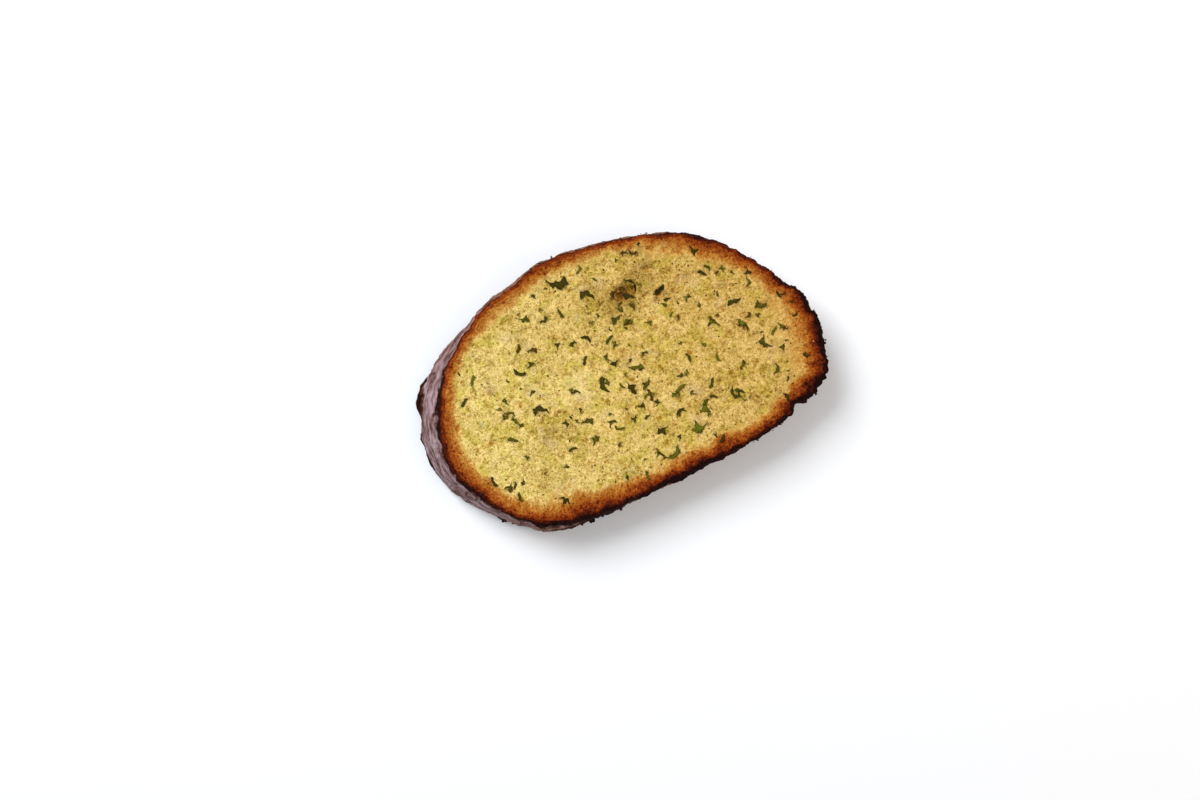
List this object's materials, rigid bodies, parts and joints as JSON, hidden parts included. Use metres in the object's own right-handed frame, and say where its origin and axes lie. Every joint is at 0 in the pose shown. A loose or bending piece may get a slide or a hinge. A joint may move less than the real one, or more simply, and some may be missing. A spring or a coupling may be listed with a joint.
{
  "type": "garlic toast",
  "caption": "Thick oblong slice of garlic toast, cut on the bias, with a browned crusty rim and strewn parsley; lies flat, cut face up.",
  "frame": {"origin": "middle of the slice's box on the surface it rests on", "axes": "+X along the slice's long side, towards its narrower right end; +Y towards the domed top of the loaf; +Z out of the cut face"},
  "size_m": [0.1472, 0.092, 0.0202],
  "materials": {
    "toasted_bread": "matte buttered crumb, golden to yellow, browned to dark brown and black at the rim",
    "crust": "dry dull crust, purplish brown, charred along its edges",
    "parsley": "dull dried leaf, dark green to olive",
    "garlic_butter": "soft amber sheen"
  },
  "bodies": {
    "root": {"garlic_toast": "toasted_bread"}
  },
  "joints": []
}
